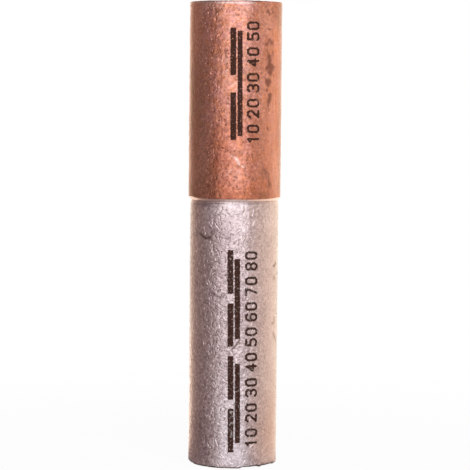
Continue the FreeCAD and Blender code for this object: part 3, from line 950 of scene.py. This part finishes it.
def tumbledCopper(skin):
    material, tree = newMaterial("tumbled copper")
    place = millimetrePlace(tree)
    sources, amounts, drummed = skinSources(tree, place, skin)
    fray = addNode(tree, "MapRange", {"From Min": noiseLow, "From Max": noiseHigh, "To Min": -skin["fray"],
                                      "To Max": skin["fray"]}, {"Value": sources["flecks"]})
    sources["frayed"] = addNode(tree, "Math", {"operation": "ADD"}, {0: amounts["stain"], 1: fray})
    # painted highlights, broken up by the flecks
    sources["rubbed"] = addNode(tree, "Math", {"operation": "MULTIPLY_ADD", 1: skin["rubBroken"]},
                                {0: sources["flecks"], 2: amounts["burnish"]})
    for name, (source, start, end, most) in skin["reaches"].items():
        amounts[name] = addNode(tree, "MapRange", {"From Min": start, "From Max": end, "To Max": most},
                                {"Value": sources[source]})
    # the painted glints are fewer where the skin is smooth
    amounts["knocked"] = addNode(tree, "Math", {"operation": "MULTIPLY"}, {0: amounts["knocked"], 1: drummed})
    amounts["heat"] = heightCurve(tree, place, skin["heat"])

    colour, shadeTint = [addNode(tree, "ValToRGB", None, {0: sources[name]}) for name in ("ground", "hue")]
    fillRamp(colour.color_ramp, skin["ground"])
    fillRamp(shadeTint.color_ramp, skin["dusk"])
    colour = layCoats(tree, colour, skin["metal"], amounts)
    # painted shade over the metal, darkest on the left side
    colour = addNode(tree, "Mix", {"data_type": "RGBA"}, {0: amounts["dusk"], 6: colour, 7: shadeTint})
    colour = layCoats(tree, colour, skin["worn"], amounts)
    wiped = addNode(tree, "VectorMath", {"operation": "MULTIPLY", 1: tumbled["wiped"]}, {0: place})
    colour = mottle(tree, wiped, colour, amounts["smooth"], skin["wiping"])
    colour = mottle(tree, place, colour, drummed, skin["mottle"])
    colour = layCoats(tree, colour, skin["dirt"], amounts)

    bump = addBump(tree, place, copperBarrel, skin, drummed)
    finishMetal(tree, place, colour, heightCurve(tree, place, skin["roughness"]), bump)
    return material


# Tumbled aluminium: pale silver, dulled by a dense net of fine curled scratches.
# its colours also hold painted shade: warm low on the right side, and dark along the foot
aluminiumSkin = {
    "paints": ("smooth", "dusk", "fresh", "tarnish", "stain"),
    "noises": {"ground": (3.333, 3.0, 0.55, 0.0), "grime": (0.4348, 3.0, 0.6, 1.2)},
    "pits": ("grime", 0.15, 0.46, 0.74, 0.8),
    "soiled": 0.45,
    "ground": [(0.3, "#e2dad7"), (0.55, "#eee6e2"), (0.75, "#f6f0ee")],
    # paler patches, soiling, and painted shade
    "worn": [("fresh", "#fffcfc"), ("soiled", "#b3a2a8"), ("dusk", "#cbaa98")],
    "mottle": (0.77, 1.28),
    # pit dirt, then stains with the painted shade line along the foot
    "dirt": [("pits", "#937d7e"), ("stain", "#6b5448")],
    "roughness": [(0, 0.2), (3, 0.22), (8, 0.26), (24, 0.26), (30, 0.24), (35.7, 0.2)],
    "turned": [(34.8, 1.0), (35.3, 0.12)],    # the relief by the weld is left smooth
    "grain": (0.3448, 2.0, 0.4),
    "scratches": [(1.6, 1.1, 1.2, 0.15, 0.6, 0.7, (0.3, 0.4, 0)),
                  (0.8, 0.7, 0.85, 0.13, 1.0, 1.0, (7.1, 3.2, 0)),
                  (1.8, 0.6, 0.4, 0.15, 1.4, 0.6, (2.7, 9.1, 0))],
    "bumpDeep": 41,
}


def tumbledAluminium(skin):
    material, tree = newMaterial("tumbled aluminium")
    place = millimetrePlace(tree)
    sources, amounts, drummed = skinSources(tree, place, skin)
    colour = addNode(tree, "ValToRGB", None, {0: sources["ground"]})
    fillRamp(colour.color_ramp, skin["ground"])
    colour = layCoats(tree, colour, skin["worn"], amounts)
    colour = mottle(tree, place, colour, drummed, skin["mottle"])
    colour = layCoats(tree, colour, skin["dirt"], amounts)

    turned = heightCurve(tree, place, skin["turned"])
    strength = addNode(tree, "Math", {"operation": "MULTIPLY"}, {0: turned, 1: drummed})
    bump = addBump(tree, place, aluminiumBarrel, skin, strength)
    finishMetal(tree, place, colour, heightCurve(tree, place, skin["roughness"]), bump)
    return material


# Drilled and faced metal: brighter than the tumbled outside, with the fine rings of the tool.
drilled = {
    "ringMm": 0.3,
    "ringDeep": 4,
    "cloudNoise": (0.8333, 3.0), # (mm, detail)
    "tone": (0.8, 1.05),
    "roughness": (0.22, 0.36),
}


def drilledMetal(name, colour, setup):
    material, tree = newMaterial(name)
    place = millimetrePlace(tree)
    apart = addNode(tree, "SeparateXYZ", None, {0: place})
    flat = addNode(tree, "CombineXYZ", None, {"X": apart.outputs["X"], "Y": apart.outputs["Y"]})
    radius = addNode(tree, "VectorMath", {"operation": "LENGTH"}, {0: flat})
    walk = addNode(tree, "Math", {"operation": "ADD"}, {0: radius, 1: apart.outputs["Z"]})
    phase = addNode(tree, "Math", {"operation": "MULTIPLY", 1: 2 * math.pi / setup["ringMm"]}, {0: walk})
    rings = addNode(tree, "Math", {"operation": "SINE"}, {0: phase})
    cloudMm, detail = setup["cloudNoise"]
    cloud = addNode(tree, "TexNoise", {"Scale": 1 / cloudMm, "Detail": detail}, {"Vector": place})
    dark, pale = setup["tone"]
    shade = addNode(tree, "MapRange", {"From Min": noiseLow, "From Max": noiseHigh, "To Min": dark,
                                       "To Max": pale}, {"Value": cloud})
    tone = addNode(tree, "Mix", {"data_type": "RGBA", "blend_type": "MULTIPLY", 0: 1.0,
                                 6: linearColour(colour)}, {7: shade})
    glossy, matt = setup["roughness"]
    dull = addNode(tree, "MapRange", {"To Min": glossy, "To Max": matt}, {"Value": cloud})
    bump = addNode(tree, "Bump", {"Strength": 1.0, "Distance": setup["ringDeep"] * micrometre * mm},
                   {"Height": rings})
    shader = addNode(tree, "BsdfPrincipled", {"Metallic": 1.0}, {
        "Base Color": tone, "Roughness": dull, "Normal": bump})
    addNode(tree, "OutputMaterial", None, {"Surface": shader})
    return material


aluminium.data.materials.append(tumbledAluminium(aluminiumSkin))
aluminium.data.materials.append(drilledMetal("drilled aluminium", "#e9e4e2", drilled))
copper.data.materials.append(tumbledCopper(copperSkin))
copper.data.materials.append(drilledMetal("drilled copper", "#f3b79c", drilled))
print("materials made")
